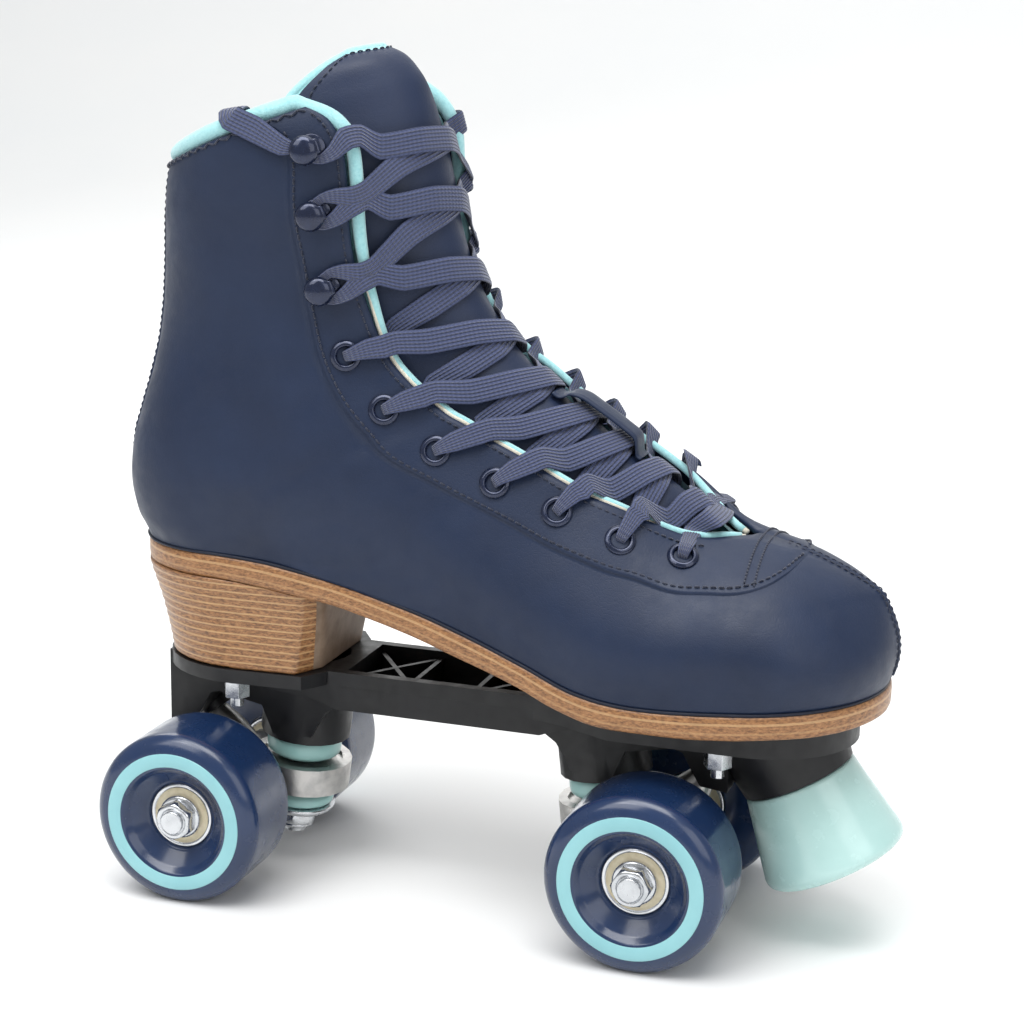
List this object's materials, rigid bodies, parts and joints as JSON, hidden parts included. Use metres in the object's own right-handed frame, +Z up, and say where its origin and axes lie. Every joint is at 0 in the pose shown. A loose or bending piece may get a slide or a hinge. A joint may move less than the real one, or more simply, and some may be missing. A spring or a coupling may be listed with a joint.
{
  "type": "quad roller skate",
  "caption": "High-cut laced quad roller skate with stacked heel, moulded plate, two steering trucks, wheels on ball bearings, and a slanted toe stop.",
  "frame": {"origin": "on the floor, under the middle of the whole length and width", "axes": "+X toward the toe, +Y to the left side, +Z up"},
  "size_m": [0.2674, 0.1124, 0.279],
  "materials": {
    "leather_navy": "satin smooth leather, fine grain",
    "fleece_aqua": "brushed fleece",
    "lace_navy": "flat braided",
    "metal_navy": "glossy enamel",
    "sole_wood": "layered and speckled board, varnished",
    "plate_black": "satin moulded nylon",
    "cast_metal": "tumbled casting",
    "zinc_steel": "bright zinc plate",
    "urethane_navy": "glossy cast urethane",
    "urethane_aqua": "satin cast urethane"
  },
  "bodies": {
    "boot": {"boot_upper": "leather_navy", "boot_lining": "fleece_aqua", "tongue": "leather_navy", "lace_keeper": "leather_navy", "insole": "fleece_aqua", "outsole": "sole_wood", "heel_block": "sole_wood", "backstay": "leather_navy", "eyelet_stay_right": "metal_navy", "eyelet_stay_left": "metal_navy", "hook_right_1": "metal_navy", "hook_left_1": "metal_navy", "hook_right_2": "metal_navy", "hook_left_2": "metal_navy", "hook_right_3": "metal_navy", "hook_left_3": "metal_navy", "lace": "lace_navy", "plate": "plate_black", "toe_stop": "urethane_aqua", "toe_stop_bolt": "zinc_steel", "mount_bolt_rear_right": "zinc_steel", "mount_nut_rear_right": "zinc_steel", "mount_bolt_rear_left": "zinc_steel", "mount_nut_rear_left": "zinc_steel", "mount_bolt_front_right": "zinc_steel", "mount_nut_front_right": "zinc_steel", "mount_bolt_front_left": "zinc_steel", "mount_nut_front_left": "zinc_steel", "kingpin_front": "zinc_steel", "cushion_upper_front": "urethane_aqua", "cushion_lower_front": "urethane_aqua", "cushion_washer_front": "zinc_steel", "kingpin_nut_front": "zinc_steel", "pivot_cup_front": "urethane_aqua", "kingpin_rear": "zinc_steel", "cushion_upper_rear": "urethane_aqua", "cushion_lower_rear": "urethane_aqua", "cushion_washer_rear": "zinc_steel", "kingpin_nut_rear": "zinc_steel", "pivot_cup_rear": "urethane_aqua"},
    "truck_front": {"hanger_front": "cast_metal", "axle_front": "zinc_steel", "axle_nut_front_right": "zinc_steel", "axle_nut_front_left": "zinc_steel"},
    "truck_rear": {"hanger_rear": "cast_metal", "axle_rear": "zinc_steel", "axle_nut_rear_right": "zinc_steel", "axle_nut_rear_left": "zinc_steel"},
    "wheel_front_right_body": {"wheel_front_right": "urethane_navy", "bearing_front_right_outer": "zinc_steel", "bearing_front_right_inner": "zinc_steel"},
    "wheel_front_left_body": {"wheel_front_left": "urethane_navy", "bearing_front_left_outer": "zinc_steel", "bearing_front_left_inner": "zinc_steel"},
    "wheel_rear_right_body": {"wheel_rear_right": "urethane_navy", "bearing_rear_right_outer": "zinc_steel", "bearing_rear_right_inner": "zinc_steel"},
    "wheel_rear_left_body": {"wheel_rear_left": "urethane_navy", "bearing_rear_left_outer": "zinc_steel", "bearing_rear_left_inner": "zinc_steel"}
  },
  "joints": [
    {"name": "steer_front", "type": "hinge", "parent": "boot", "child": "truck_front", "pos_m": [0.07227, 0, 0.0535], "axis": [0.8653, 0, 0.5012], "range_deg": [-7, 7], "stiffness_Nm_per_rad": 30},
    {"name": "steer_rear", "type": "hinge", "parent": "boot", "child": "truck_rear", "pos_m": [-0.10873, 0, 0.0535], "axis": [-0.8653, 0, 0.5012], "range_deg": [-7, 7], "stiffness_Nm_per_rad": 30},
    {"name": "spin_front_right", "type": "hinge", "parent": "truck_front", "child": "wheel_front_right_body", "pos_m": [0.05949, 0, 0.029], "axis": [0, 1, 0], "continuous": true},
    {"name": "spin_front_left", "type": "hinge", "parent": "truck_front", "child": "wheel_front_left_body", "pos_m": [0.05949, 0, 0.029], "axis": [0, 1, 0], "continuous": true},
    {"name": "spin_rear_right", "type": "hinge", "parent": "truck_rear", "child": "wheel_rear_right_body", "pos_m": [-0.09595, 0, 0.029], "axis": [0, 1, 0], "continuous": true},
    {"name": "spin_rear_left", "type": "hinge", "parent": "truck_rear", "child": "wheel_rear_left_body", "pos_m": [-0.09595, 0, 0.029], "axis": [0, 1, 0], "continuous": true}
  ]
}
